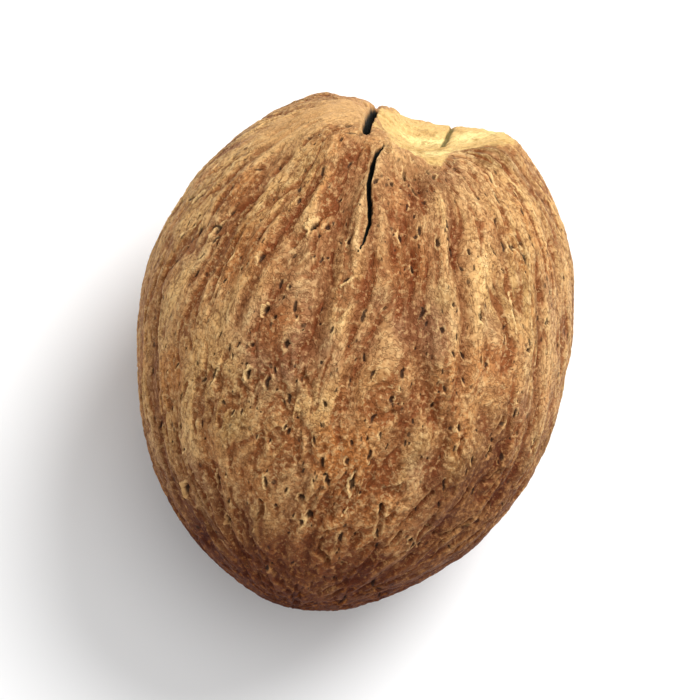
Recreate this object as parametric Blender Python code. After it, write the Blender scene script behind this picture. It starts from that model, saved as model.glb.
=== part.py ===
"""Whole nutmeg: the dried seed of the nutmeg tree, lying on its side.

The seed is one solid body.  It is egg shaped, a little wider than it is high, with a
narrow tip and a blunt crown.  The crown ends in the scar, a shallow dish where the seed
grew on its stalk, which is tipped upwards.  Shallow furrows run from the scar to the
tip.  Two dry cracks are open at the crown: one cuts through the scar's rim and one runs
down the skin below it.

Units are metres and +Z is up.  +Y points to the crown, +X across the seed.  The origin
lies on the ground, under the middle of the seed's box, and the seed stands on a small
flat spot there.
"""

import math

import bmesh
import bpy
from mathutils import Matrix, Vector, noise

# The egg, measured from the middle of its widest section.
WIDTH = 0.0239
HEIGHT = 0.0230
WAIST_TO_TIP = 0.0151
WAIST_TO_CROWN = 0.0143
TIP_FULLNESS = 2.03
TIP_NUB = 0.0005
TIP_NUB_SPREAD = math.radians(15.0)
CROWN_LEAN = 0.0005
REST_PITCH = math.radians(6.0)

# The scar: how far its face is from the middle, which way it faces, and its dish and
# raised lip, which lie a little to one side of the face's middle.
SCAR_REACH = 0.0118
SCAR_LIFT = math.radians(19.0)
SCAR_TURN = math.radians(-5.0)
SCAR_SHOULDER = 0.0014
SCAR_LEAST_FACING = 0.2
DISH_ASIDE = 0.0022
DISH_RADIUS = 0.0042
DISH_FLOOR_SHARE = 0.45
DISH_BRIM_SHARE = 1.2
DISH_DEPTH = 0.00045
LIP_HEIGHT = 0.00055
LIP_SPREAD = 0.0014

# The crown's own shape: a crest on one side of the scar and a trough beside it, which
# both run up the crown and fade away from the scar's face.
CREST_ASIDE = -0.0035
CREST_HEIGHT = 0.00062
CREST_SPREAD = 0.0022
TROUGH_ASIDE = 0.0017
TROUGH_DEPTH = 0.00055
TROUGH_STEEP_SPREAD = 0.0013
TROUGH_GENTLE_SPREAD = 0.0026
CROWN_FADE_START = 0.90
CROWN_FADE_END = 0.72

# Relief of the skin: slow lumps, and furrows that wander down the seed from the scar.
LUMP_HEIGHT = 0.00022
LUMPS_PER_RADIUS = 1.5
LUMP_SEED = Vector((21.4, 2.9, 8.3))
GRAIN_LIFT = math.radians(31.0)
FURROWS = 25
FURROW_DEPTH = 0.00030
FURROW_SHARPNESS = 2.4
FURROW_WANDER = 0.85
FURROW_SPREAD = 2.3
FURROW_STRETCH = 1.05
FURROW_STRENGTH = 0.6
FURROW_STRENGTH_SWING = 0.7
FURROW_STRENGTH_PITCH = 1.3
FURROW_LEAST_STRENGTH = 0.15
FURROW_TIP_FADE = (-0.99, -0.78)
FURROW_CROWN_FADE = (0.84, 0.96)
WANDER_SEED = Vector((3.7, 11.2, 5.1))
STRENGTH_SEED = Vector((8.8, 0.6, 14.9))

# The flat spot that it rests on: how much is worn away, and where the furrows fade.
REST_WEAR = 0.00022
REST_FADE_INNER = math.radians(10.0)
REST_FADE_OUTER = math.radians(26.0)

# The cracks.  Each runs between two places, given as a polar angle from the middle of
# the scar's face and a turn around it, where a quarter turn is the side facing up.
RIM_CRACK = {
    "start": (math.radians(24.0), math.radians(261.0)),
    "end": (math.radians(20.5), math.radians(105.0)),
    "width": 0.00040,
    "depth": 0.0012,
    "wander": 0.00010,
}
SKIN_CRACK = {
    "start": (math.radians(24.5), math.radians(90.5)),
    "end": (math.radians(57.0), math.radians(92.5)),
    "width": 0.00028,
    "depth": 0.0008,
    "wander": -0.00028,
}
CRACK_STATIONS = 13
CRACK_BENDS = 1.05
CRACK_CLEARANCE = 0.0008
CRACK_MOUTH_FLARE = 1.6
CRACK_END_SHARE = 0.25

GRID_CUTS = 27
TINY = 1e-9
SKIN_COLOUR = (0.36, 0.17, 0.07, 1.0)
SKIN_ROUGHNESS = 0.62


def clear_scene():
    """Remove every object of the open file."""
    for item in list(bpy.data.objects):
        bpy.data.objects.remove(item, do_unlink=True)


def smooth_step(low, high, value):
    """Return 0 below low and 1 above high, with an eased rise between them."""
    share = min(max((value - low) / (high - low), 0.0), 1.0)
    return share * share * (3.0 - 2.0 * share)


def soft_min(first, second, blend):
    """Return the lesser of two lengths, rounded over where they are close."""
    share = max(blend - abs(first - second), 0.0) / blend
    return min(first, second) - share * share * blend / 4.0


def bell(offset, spread):
    """Return a smooth bump of height 1, as high as a third of that one spread away."""
    return math.exp(-(offset / spread) ** 2)


def scar_normal():
    """Return the way that the scar faces, in the seed's own axes."""
    level = math.cos(SCAR_LIFT)
    return Vector((math.sin(SCAR_TURN) * level, math.cos(SCAR_TURN) * level, math.sin(SCAR_LIFT)))


def grain_frame(direction):
    """Return a direction bent so that the scar's upper edge, where the grain starts, lies on +Y."""
    share = 0.5 * (1.0 + direction.y)
    bend = Matrix.Rotation(-GRAIN_LIFT * share, 3, "X") @ Matrix.Rotation(SCAR_TURN * share, 3, "Z")
    return bend @ direction


def egg_radius(direction):
    """Return how far the plain egg reaches in a direction."""
    around = math.hypot(direction.x / (0.5 * WIDTH), direction.z / (0.5 * HEIGHT))
    if direction.y > 0.0:
        return 1.0 / math.hypot(around, direction.y / WAIST_TO_CROWN)
    along = -direction.y / WAIST_TO_TIP
    plain = (around ** TIP_FULLNESS + along ** TIP_FULLNESS) ** (-1.0 / TIP_FULLNESS)
    return plain + TIP_NUB * bell(math.acos(min(-direction.y, 1.0)), TIP_NUB_SPREAD)


def crown_wave(aside, facing):
    """Return the height of the crown's crest and trough at a place beside the scar's middle."""
    crest = CREST_HEIGHT * bell(aside - CREST_ASIDE, CREST_SPREAD)
    spread = TROUGH_STEEP_SPREAD if aside < TROUGH_ASIDE else TROUGH_GENTLE_SPREAD
    trough = TROUGH_DEPTH * bell(aside - TROUGH_ASIDE, spread)
    return (crest - trough) * smooth_step(CROWN_FADE_END, CROWN_FADE_START, facing)


def scar_relief(direction):
    """Return the height of the scar's dish, lips and crest, and the dish's share there."""
    normal = scar_normal()
    facing = direction.dot(normal)
    if facing <= SCAR_LEAST_FACING:
        return 0.0, 0.0
    on_face = direction * (SCAR_REACH / facing) - normal * SCAR_REACH
    off_dish = on_face - Vector((DISH_ASIDE, 0.0, 0.0))
    floor_edge, brim = DISH_FLOOR_SHARE * DISH_RADIUS, DISH_BRIM_SHARE * DISH_RADIUS
    share = 1.0 - smooth_step(floor_edge, brim, off_dish.length)
    sideways = (off_dish.x / max(off_dish.length, TINY)) ** 2
    lip = LIP_HEIGHT * sideways * bell(off_dish.length - DISH_RADIUS, LIP_SPREAD)
    return lip - DISH_DEPTH * share + crown_wave(on_face.x, facing), share


def lump_height(direction):
    """Return the height of the seed's slow, irregular swelling."""
    return LUMP_HEIGHT * noise.noise(direction * LUMPS_PER_RADIUS + LUMP_SEED)


def furrow_depth(direction):
    """Return the depth of the furrows, which fade at the scar, the tip and the rest spot."""
    bent = grain_frame(direction)
    turn = math.atan2(bent.z, bent.x)
    polar = math.acos(min(max(bent.y, -1.0), 1.0))
    ring = Vector((math.cos(turn), math.sin(turn), 0.0)) * FURROW_SPREAD
    spot = ring + Vector((0.0, 0.0, FURROW_STRETCH * polar))
    wander = FURROW_WANDER * noise.noise(spot + WANDER_SEED)
    crease = (0.5 + 0.5 * math.cos(FURROWS * turn + math.tau * wander)) ** FURROW_SHARPNESS
    swing = noise.noise(spot * FURROW_STRENGTH_PITCH + STRENGTH_SEED)
    strength = max(FURROW_STRENGTH + FURROW_STRENGTH_SWING * swing, FURROW_LEAST_STRENGTH)
    ends = smooth_step(*FURROW_TIP_FADE, bent.y) * (1.0 - smooth_step(*FURROW_CROWN_FADE, bent.y))
    below = math.acos(min(max(-direction.z, -1.0), 1.0))
    spared = smooth_step(REST_FADE_INNER, REST_FADE_OUTER, below)
    return FURROW_DEPTH * crease * strength * ends * spared


def skin_radius(direction):
    """Return how far the seed's skin reaches in a direction from its middle."""
    facing = direction.dot(scar_normal())
    reach = egg_radius(direction)
    if facing > SCAR_LEAST_FACING:
        reach = soft_min(reach, SCAR_REACH / facing, SCAR_SHOULDER)
    relief, share = scar_relief(direction)
    swelling = lump_height(direction) * (1.0 - share)
    return reach + relief + swelling - furrow_depth(direction)


def skin_point(direction, lift=0.0):
    """Return the place on the skin in a direction, or the place that far above it."""
    place = direction * (skin_radius(direction) + lift)
    place.x += CROWN_LEAN * max(place.y / WAIST_TO_CROWN, 0.0) ** 2
    return place


def cube_sphere():
    """Return a bmesh of a unit sphere, made from a cube with an even grid on each face."""
    mesh = bmesh.new()
    bmesh.ops.create_cube(mesh, size=2.0)
    bmesh.ops.subdivide_edges(mesh, edges=mesh.edges[:], cuts=GRID_CUTS, use_grid_fill=True)
    for vertex in mesh.verts:
        even = [math.tan(0.25 * math.pi * part) for part in vertex.co]
        vertex.co = Vector(even).normalized()
    return mesh


def lay_down(mesh):
    """Tip the seed as it comes to rest, wear its flat spot and set it on the origin."""
    tipped = Matrix.Rotation(REST_PITCH, 3, "X")
    for vertex in mesh.verts:
        vertex.co = tipped @ vertex.co
    lowest = min(vertex.co.z for vertex in mesh.verts) + REST_WEAR
    for vertex in mesh.verts:
        vertex.co.z = max(vertex.co.z - lowest, 0.0)
    sides = [vertex.co.x for vertex in mesh.verts]
    ends = [vertex.co.y for vertex in mesh.verts]
    middle = Vector(((max(sides) + min(sides)) / 2.0, (max(ends) + min(ends)) / 2.0, 0.0))
    for vertex in mesh.verts:
        vertex.co -= middle
    return Matrix.Translation(-middle - Vector((0.0, 0.0, lowest))) @ tipped.to_4x4()


def around_scar(polar, turn):
    """Return the direction at a polar angle from the scar's middle and a turn around it."""
    normal = scar_normal()
    side = normal.cross(Vector((0.0, 0.0, 1.0))).normalized()
    up = side.cross(normal)
    ring = side * math.cos(turn) + up * math.sin(turn)
    return normal * math.cos(polar) + ring * math.sin(polar)


def crack_blade(crack, placing):
    """Return a bmesh of the wedge that opens one crack, already where the seed lies."""
    mesh = bmesh.new()
    start = around_scar(*crack["start"])
    end = around_scar(*crack["end"])
    sideways = start.cross(end).normalized()
    rings = []
    for station in range(CRACK_STATIONS):
        share = station / (CRACK_STATIONS - 1)
        here = start.slerp(end, share)
        drift = sideways * (crack["wander"] * math.sin(CRACK_BENDS * math.tau * share))
        taper = CRACK_END_SHARE + (1.0 - CRACK_END_SHARE) * math.sin(math.pi * share)
        mouth = sideways * (0.5 * crack["width"] * taper * CRACK_MOUTH_FLARE)
        top = skin_point(here, CRACK_CLEARANCE) + drift
        bottom = skin_point(here, -crack["depth"] * taper) + drift
        corners = (top + mouth, top - mouth, bottom)
        rings.append([mesh.verts.new(placing @ corner) for corner in corners])
    for first, second in zip(rings, rings[1:]):
        for corner in range(3):
            after = (corner + 1) % 3
            mesh.faces.new((first[corner], first[after], second[after], second[corner]))
    mesh.faces.new(rings[0])
    mesh.faces.new(rings[-1])
    bmesh.ops.triangulate(mesh, faces=mesh.faces[:])
    bmesh.ops.recalc_face_normals(mesh, faces=mesh.faces[:])
    return mesh


def add_object(name, mesh):
    """Link a bmesh into the scene as a named object and return the object."""
    data = bpy.data.meshes.new(name)
    mesh.to_mesh(data)
    mesh.free()
    item = bpy.data.objects.new(name, data)
    bpy.context.scene.collection.objects.link(item)
    return item


def skin_material():
    """Return the seed's brown, dry skin."""
    material = bpy.data.materials.new("nutmeg_skin")
    material.use_nodes = True
    shader = material.node_tree.nodes["Principled BSDF"]
    shader.inputs["Base Color"].default_value = SKIN_COLOUR
    shader.inputs["Roughness"].default_value = SKIN_ROUGHNESS
    shader.inputs["Metallic"].default_value = 0.0
    return material


def build_nutmeg():
    """Build the seed with its scar, furrows, flat spot and open cracks."""
    mesh = cube_sphere()
    for vertex in mesh.verts:
        vertex.co = skin_point(vertex.co.normalized())
    placing = lay_down(mesh)
    seed = add_object("nutmeg", mesh)
    seed.data.materials.append(skin_material())
    seed.data.shade_smooth()
    for name, crack in (("rim_crack", RIM_CRACK), ("skin_crack", SKIN_CRACK)):
        blade = add_object(name, crack_blade(crack, placing))
        blade.hide_render = True
        blade.display_type = "WIRE"
        cut = seed.modifiers.new(name, "BOOLEAN")
        cut.operation = "DIFFERENCE"
        cut.object = blade
    return seed


clear_scene()
build_nutmeg()
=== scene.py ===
"""Looks of a whole nutmeg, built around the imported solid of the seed.

The seed's skin is made once as a dense ball of directions.  Each feature of the skin, such
as its furrows, pits, cracks and scar, is a class that presses its own relief and marks
into that skin.  The pressed skin is thinned to a mesh of a sensible size, laid down where
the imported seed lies, and dressed in one finish that reads the marks.

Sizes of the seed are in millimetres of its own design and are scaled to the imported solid.
"""

import logging
import math
from dataclasses import dataclass, field
from enum import Enum

import bpy
import numpy as np
from mathutils import Euler, Matrix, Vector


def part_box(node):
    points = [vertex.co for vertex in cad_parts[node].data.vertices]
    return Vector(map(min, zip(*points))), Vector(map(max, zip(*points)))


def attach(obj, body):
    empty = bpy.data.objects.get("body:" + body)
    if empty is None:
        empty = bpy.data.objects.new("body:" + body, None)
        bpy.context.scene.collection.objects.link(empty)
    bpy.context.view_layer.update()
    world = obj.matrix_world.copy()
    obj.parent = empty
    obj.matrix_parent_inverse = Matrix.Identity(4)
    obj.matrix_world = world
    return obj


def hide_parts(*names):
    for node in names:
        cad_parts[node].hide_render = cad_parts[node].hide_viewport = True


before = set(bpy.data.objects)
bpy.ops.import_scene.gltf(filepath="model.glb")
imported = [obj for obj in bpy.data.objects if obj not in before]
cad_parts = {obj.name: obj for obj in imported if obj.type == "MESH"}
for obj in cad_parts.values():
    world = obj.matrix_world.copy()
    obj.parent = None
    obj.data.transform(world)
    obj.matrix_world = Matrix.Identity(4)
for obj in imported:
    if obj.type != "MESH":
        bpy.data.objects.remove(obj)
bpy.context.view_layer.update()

LOG = logging.getLogger("nutmeg")
NODE = "nutmeg"
UP = np.array((0.0, 0.0, 1.0), np.float32)


class Mark(Enum):
    """A share from 0 to 1 that a feature leaves on the skin for the finish to read."""

    # Valleys: their own red-brown colour, with painted shade multiplied in.
    VALLEY = "valley"
    STREAK = "streak"
    RELIEF = "relief"
    PIT = "pit"
    # Pale colour on raised rims of holes, crack lips and valley ridges: painted highlight.
    RIM_HIGHLIGHT = "rim"
    # Cracks, coloured near-black inside as painted shade.
    CRACK = "crack"
    SCAR = "scar"
    HALO = "halo"
    BRIGHT = "bright"
    GROOVE = "groove"
    # Darker narrow end: partly the seed's own darker colour, partly painted shade.
    TIP = "tip"
    CURL = "curl"
    TONE = "tone"
    RUST = "rust"
    PLUM = "plum"
    GOLD = "gold"
    # Greyer olive drifts of the skin's own colour, and painted shade at the scar's cut corner.
    OLIVE_AND_SHADE = "olive_and_shade"


def ease(low: float, high: float, value: np.ndarray) -> np.ndarray:
    """Blend smoothly from 0 to 1.

    Args:
        low: Value at which the blend leaves 0.
        high: Value at which the blend reaches 1.
        value: Values to blend.

    Returns:
        The share of the way from low to high, eased at both ends.
    """
    share = np.clip((value - low) / (high - low), 0.0, 1.0)
    return share * share * (3.0 - 2.0 * share)


def bell(offset: np.ndarray, spread: np.ndarray | float) -> np.ndarray:
    """Return a smooth bump of height 1, as high as a third of that one spread away."""
    return np.exp(-((offset / spread) ** 2))


def unit(vectors: np.ndarray) -> np.ndarray:
    """Return vectors scaled to length one."""
    return vectors / np.linalg.norm(vectors, axis=-1, keepdims=True)


def turned(vectors: np.ndarray, angle: np.ndarray | float, first: int, second: int) -> np.ndarray:
    """Turn vectors from one axis towards another.

    Args:
        vectors: Vectors, one a row.
        angle: Angle of the turn in radians, one for all or one for each vector.
        first: Number of the axis that the turn starts from.
        second: Number of the axis that the turn goes towards.

    Returns:
        The turned vectors.
    """
    result = vectors.copy()
    result[:, first] = vectors[:, first] * np.cos(angle) - vectors[:, second] * np.sin(angle)
    result[:, second] = vectors[:, first] * np.sin(angle) + vectors[:, second] * np.cos(angle)
    return result


class SmoothField:
    """Smooth irregular field in space, between about -1 and 1, the same on every run."""

    CELLS = 256
    GAIN = 1.6

    def __init__(self, seed: int) -> None:
        """Draw the slopes of the field.

        Args:
            seed: Number that picks one field out of many.
        """
        random = np.random.default_rng(seed)
        order = random.permutation(self.CELLS).astype(np.int32)
        self.order = np.concatenate((order, order))
        self.slopes = unit(random.normal(size=(self.CELLS, 3))).astype(np.float32)

    def at(self, places: np.ndarray) -> np.ndarray:
        """Read the field.

        Args:
            places: Places to read it at, one a row.

        Returns:
            One value a place.
        """
        floor = np.floor(places)
        part = (places - floor).astype(np.float32)
        cell = floor.astype(np.int32) & (self.CELLS - 1)
        fade = part * part * part * (part * (part * 6.0 - 15.0) + 10.0)
        total = np.zeros(len(places), np.float32)
        for step_x in (0, 1):
            weight_x = fade[:, 0] if step_x else 1.0 - fade[:, 0]
            key_x = self.order[cell[:, 0] + step_x]
            for step_y in (0, 1):
                weight_y = weight_x * (fade[:, 1] if step_y else 1.0 - fade[:, 1])
                key_y = self.order[key_x + cell[:, 1] + step_y]
                for step_z in (0, 1):
                    weight = weight_y * (fade[:, 2] if step_z else 1.0 - fade[:, 2])
                    slope = self.slopes[self.order[key_y + cell[:, 2] + step_z]]
                    rise = slope[:, 0] * (part[:, 0] - step_x)
                    rise += slope[:, 1] * (part[:, 1] - step_y)
                    rise += slope[:, 2] * (part[:, 2] - step_z)
                    total += weight * rise
        return total * self.GAIN

    def layered(self, places: np.ndarray, layers: int, keep: float = 0.5) -> np.ndarray:
        """Read several finer and finer layers of the field, added up.

        Args:
            places: Places to read it at, one a row.
            layers: How many layers to add.
            keep: Strength of each layer against the one before.

        Returns:
            One value a place, about as strong as a single layer.
        """
        total = np.zeros(len(places), np.float32)
        strength, whole, scale = 1.0, 0.0, 1.0
        for layer in range(layers):
            total += strength * self.at(places * scale + 17.0 * layer)
            whole += strength
            strength *= keep
            scale *= 2.0
        return total / whole ** 0.5


@dataclass(frozen=True)
class Seed:
    """The plain egg of the seed, its scar's face and the run of its grain, in millimetres."""

    design_length: float = 29.2
    width: float = 23.9
    height: float = 23.0
    waist_to_tip: float = 15.1
    waist_to_crown: float = 14.3
    tip_fullness: float = 2.03
    tip_nub: float = 0.5
    tip_nub_spread: float = math.radians(15.0)
    crown_lean: float = 0.5
    rest_pitch: float = math.radians(6.0)
    rest_wear: float = 0.22
    scar_reach: float = 11.8
    scar_lift: float = math.radians(19.0)
    scar_turn: float = math.radians(-5.0)
    scar_shoulder: float = 1.4
    grain_lift: float = math.radians(31.0)
    ring_grip: float = 0.28

    @property
    def scar_normal(self) -> np.ndarray:
        """Way that the scar faces."""
        level = math.cos(self.scar_lift)
        across, along = math.sin(self.scar_turn) * level, math.cos(self.scar_turn) * level
        return np.array((across, along, math.sin(self.scar_lift)), np.float32)

    @property
    def scar_axes(self) -> tuple[np.ndarray, np.ndarray]:
        """Sideways and upward axes of the scar's face."""
        side = unit(np.cross(self.scar_normal, UP))
        return side, np.cross(side, self.scar_normal)

    def egg_radius(self, directions: np.ndarray) -> np.ndarray:
        """Return how far the plain egg reaches in each direction."""
        x, y, z = directions.T
        around = np.hypot(x / (0.5 * self.width), z / (0.5 * self.height))
        crown = 1.0 / np.hypot(around, y / self.waist_to_crown)
        power = self.tip_fullness
        along = np.maximum(-y, 0.0) / self.waist_to_tip
        tip = (around ** power + along ** power) ** (-1.0 / power)
        tip += self.tip_nub * bell(np.arccos(np.clip(-y, -1.0, 1.0)), self.tip_nub_spread)
        return np.where(y > 0.0, crown, tip)

    def on_scar(self, directions: np.ndarray) -> tuple[np.ndarray, np.ndarray, np.ndarray]:
        """Find where directions meet the scar's face.

        Args:
            directions: Directions from the seed's middle.

        Returns:
            Places sideways and upwards on the face, and how squarely each direction
            meets it.  Directions that look away get a place far off the face.
        """
        side, up = self.scar_axes
        facing = directions @ self.scar_normal
        reach = self.scar_reach / np.maximum(facing, 0.2)
        return (directions @ side) * reach, (directions @ up) * reach, facing

    def plain_radius(self, directions: np.ndarray) -> np.ndarray:
        """Return how far the egg reaches once the scar's face has cut its crown."""
        egg = self.egg_radius(directions)
        facing = directions @ self.scar_normal
        face = np.where(facing > 0.2, self.scar_reach / np.maximum(facing, 0.2), 1e3)
        near = np.maximum(self.scar_shoulder - np.abs(egg - face), 0.0) / self.scar_shoulder
        return np.minimum(egg, face) - near * near * self.scar_shoulder * 0.25

    def bent(self, directions: np.ndarray) -> np.ndarray:
        """Bend directions so that the scar's upper edge, where the grain starts, is on +Y."""
        share = 0.5 * (1.0 + directions[:, 1])
        level = turned(directions, self.scar_turn * share, 0, 1)
        return turned(level, -self.grain_lift * share, 1, 2)

    def grain(self, directions: np.ndarray) -> tuple[np.ndarray, np.ndarray]:
        """Return the turn around the seed and the angle down from where the grain starts."""
        bent = self.bent(directions)
        polar = np.arccos(np.clip(bent[:, 1], -1.0, 1.0))
        return np.arctan2(bent[:, 2], bent[:, 0]), polar

    def around_scar(self, polar: float, turn: float) -> np.ndarray:
        """Return the direction at a polar angle from the scar's middle and a turn round it."""
        side, up = self.scar_axes
        ring = side * math.cos(turn) + up * math.sin(turn)
        return (self.scar_normal * math.cos(polar) + ring * math.sin(polar)).astype(np.float32)

    def lean(self, places: np.ndarray, share: float = 1.0) -> np.ndarray:
        """Lean the crown sideways, or back with a share of -1."""
        moved = places.copy()
        rise = np.maximum(places[:, 1] / self.waist_to_crown, 0.0)
        moved[:, 0] += share * self.crown_lean * rise * rise
        return moved


@dataclass
class Skin:
    """The skin while it is being pressed: where it is, how high it is and what marks it has."""

    seed: Seed
    directions: np.ndarray
    height: np.ndarray = field(init=False)
    marks: dict[Mark, np.ndarray] = field(init=False)
    turn: np.ndarray = field(init=False)
    polar: np.ndarray = field(init=False)
    bend: np.ndarray = field(init=False)
    ragged: np.ndarray = field(init=False)
    plain: np.ndarray = field(init=False)

    def __post_init__(self) -> None:
        """Start as the smooth egg with no marks."""
        count = len(self.directions)
        self.height = np.zeros(count, np.float32)
        self.marks = {mark: np.zeros(count, np.float32) for mark in Mark}
        self.turn, self.polar = self.seed.grain(self.directions)
        self.bend = np.zeros(count, np.float32)
        self.ragged = SmoothField(3).at(self.directions * 60.0)
        self.plain = self.seed.plain_radius(self.directions).astype(np.float32)

    def ring_places(self, around: float, along: float) -> np.ndarray:
        """Lay the skin out in a space where the grain runs along the third axis.

        Args:
            around: Cells of detail in a radian around the waist.
            along: Cells of detail in a radian down the seed.

        Returns:
            One place for each point of the skin, with the grain's wander so far.
        """
        ring = around * np.maximum(np.sin(self.polar), 0.02) ** self.seed.ring_grip
        turn = self.turn + self.bend
        return np.stack((ring * np.cos(turn), ring * np.sin(turn), along * self.polar), 1)

    def places(self) -> np.ndarray:
        """Return the skin's places in space, in millimetres from the seed's middle."""
        return self.seed.lean(self.directions * (self.plain + self.height)[:, None])

    def near(self, middle: np.ndarray, reach: float) -> np.ndarray:
        """Return the numbers of the points within a reach of a place on the skin."""
        limit = 1.0 - 0.5 * (reach / 11.0) ** 2
        return np.nonzero(self.directions @ middle > limit)[0]

    def add(self, mark: Mark, share: np.ndarray) -> None:
        """Raise a mark to a share, where it isn't already that strong."""
        self.marks[mark] = np.maximum(self.marks[mark], share.astype(np.float32))


@dataclass(frozen=True)
class Lumps:
    """Slow, irregular swelling of the whole seed."""

    seed_number: int = 11
    broad_height: float = 0.20
    small_height: float = 0.10
    broad_cells: float = 1.5
    small_cells: float = 3.8

    def press(self, skin: Skin) -> None:
        """Swell the skin outside the scar."""
        noise = SmoothField(self.seed_number)
        swelling = self.broad_height * noise.at(skin.directions * self.broad_cells)
        swelling += self.small_height * noise.at(skin.directions * self.small_cells + 9.0)
        skin.height += swelling * (1.0 - skin.marks[Mark.SCAR])


@dataclass(frozen=True)
class Wander:
    """The way that the grain strays from side to side as it runs down the seed."""

    seed_number: int = 17
    broad: float = 0.15
    small: float = 0.035

    def press(self, skin: Skin) -> None:
        """Bend the grain, without any relief."""
        noise = SmoothField(self.seed_number)
        bend = self.broad * noise.at(skin.ring_places(2.2, 1.2))
        bend += self.small * noise.at(skin.ring_places(7.0, 4.0) + 31.0)
        skin.bend = bend


@dataclass(frozen=True)
class Patch:
    """One soft-edged area of the skin, placed around the scar, with its reach in millimetres."""

    mark: Mark
    polar: float
    turn: float
    reach: float
    strength: float = 1.0
    seed_number: int = 19

    def press(self, skin: Skin) -> None:
        """Mark the area, with a ragged edge and no relief."""
        noise = SmoothField(self.seed_number)
        middle = skin.seed.around_scar(math.radians(self.polar), math.radians(self.turn))
        away = np.arccos(np.clip(skin.directions @ middle, -1.0, 1.0)) * 12.0
        away = away * (1.0 + 0.35 * noise.at(skin.ring_places(5.0, 3.0)))
        away = away + 0.5 * noise.at(skin.ring_places(16.0, 8.0) + 5.0)
        skin.add(self.mark, self.strength * (1.0 - ease(0.45 * self.reach, 1.3 * self.reach, away)))


@dataclass(frozen=True)
class Valley:
    """One long valley that follows a path of polar angles and turns in the grain."""

    path: tuple[tuple[float, float], ...]
    width: float
    depth: float
    mark: Mark

    def press(self, skin: Skin) -> None:
        """Sink the valley, which fades at both ends and has a soft ridge on each side."""
        polars, turns = (np.radians(part) for part in zip(*self.path))
        line = np.interp(skin.polar, polars, turns)
        off = skin.turn + 0.35 * skin.bend - line
        off = (off + math.pi) % (2.0 * math.pi) - math.pi
        aside = 12.0 * off * np.sin(skin.polar) / self.width
        fade = min(0.20, 0.3 * float(polars[-1] - polars[0]))
        along = ease(float(polars[0]), float(polars[0]) + fade, skin.polar)
        along = along * (1.0 - ease(float(polars[-1]) - fade, float(polars[-1]), skin.polar))
        share = bell(aside, 1.0) * along
        ridge = bell(np.abs(aside) - 1.9, 0.8) * along
        skin.height += self.depth * (0.30 * ridge - share)
        skin.add(self.mark, share)
        # Pale colour along the ridges beside the valley: painted highlight.
        skin.add(Mark.RIM_HIGHLIGHT, 0.30 * ridge)


@dataclass(frozen=True)
class Dashes:
    """Short, narrow valleys, each from one polar angle and turn in the grain to another."""

    width: float = 0.22
    depth: float = 0.18
    runs: tuple[tuple[int, int, int, int], ...] = (
        (17, 108, 36, 116),
        (30, 142, 42, 141),
        (36, 126, 52, 133),
        (41, 108, 62, 117),
        (47, 126, 66, 127),
        (60, 135, 76, 136),
        (69, 137, 89, 135),
        (61, 105, 73, 110),
        (44, 139, 58, 145),
        (63, 81, 82, 80),
        (50, 84, 60, 83),
        (36, 34, 48, 37),
        (21, 98, 30, 101),
    )

    def press(self, skin: Skin) -> None:
        """Sink every dash."""
        for first, first_turn, last, last_turn in self.runs:
            path = ((first, first_turn), (last, last_turn))
            Valley(path, self.width, self.depth, Mark.STREAK).press(skin)


@dataclass(frozen=True)
class Furrows:
    """Furrows between broad ridges that run from the scar down to the tip."""

    seed_number: int = 23
    furrows: int = 25
    depth: float = 0.30
    sharpness: float = 1.6

    def press(self, skin: Skin) -> None:
        """Sink the furrows, each deeper in some parts than in others."""
        noise = SmoothField(self.seed_number)
        open_skin = 1.0 - skin.marks[Mark.SCAR]
        ends = ease(0.10, 0.42, math.pi - skin.polar) * ease(0.25, 0.45, skin.polar)
        crease = (0.5 + 0.5 * np.cos(self.furrows * (skin.turn + skin.bend))) ** self.sharpness
        strength = ease(-0.40, 0.55, noise.at(skin.ring_places(3.2, 1.3) + 57.0))
        furrow = crease * (0.12 + 0.88 * strength) * ends * open_skin
        skin.height -= self.depth * furrow
        skin.add(Mark.VALLEY, furrow)


@dataclass(frozen=True)
class Streaks:
    """Narrow, dark dashes and creases along the grain, thicker in some areas."""

    seed_number: int = 29
    dash_around: float = 19.0
    dash_along: float = 2.1
    dash_depth: float = 0.14
    crease_around: float = 8.0
    crease_along: float = 1.9
    crease_width: float = 0.20
    crease_depth: float = 0.10
    nick_around: float = 20.0
    nick_along: float = 8.0
    nick_depth: float = 0.14

    def press(self, skin: Skin) -> None:
        """Sink the dashes, then the creases that join them."""
        noise = SmoothField(self.seed_number)
        open_skin = 1.0 - skin.marks[Mark.SCAR]
        clear = ease(0.26, 0.38, skin.polar) * open_skin
        lower = ease(1.45, 1.90, skin.polar)
        ragged = 0.16 * noise.at(skin.ring_places(38.0, 14.0) + 3.0)
        wave = noise.at(skin.ring_places(self.dash_around, self.dash_along) + 101.0)
        where = noise.at(skin.ring_places(4.5, 2.6) + 77.0)
        dash = ease(0.16, 0.50, -wave + ragged + 0.30 * where)
        wave = noise.at(skin.ring_places(self.crease_around, self.crease_along) + 151.0)
        crease = np.clip(1.0 - np.abs(wave + 0.5 * ragged) / self.crease_width, 0.0, 1.0)
        crease *= ease(-0.3, 0.4, noise.at(skin.ring_places(6.0, 3.0) + 177.0))
        dash *= 1.0 - 0.2 * lower
        wave = noise.at(skin.ring_places(self.nick_around, self.nick_along) + 201.0)
        nick = ease(0.20, 0.50, wave + ragged + 0.45 * where) * lower
        sunk = self.dash_depth * dash + self.crease_depth * crease + self.nick_depth * nick
        skin.height -= sunk * clear
        skin.add(Mark.STREAK, np.maximum(np.maximum(dash, 0.9 * nick), 0.8 * crease) * clear)


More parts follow.
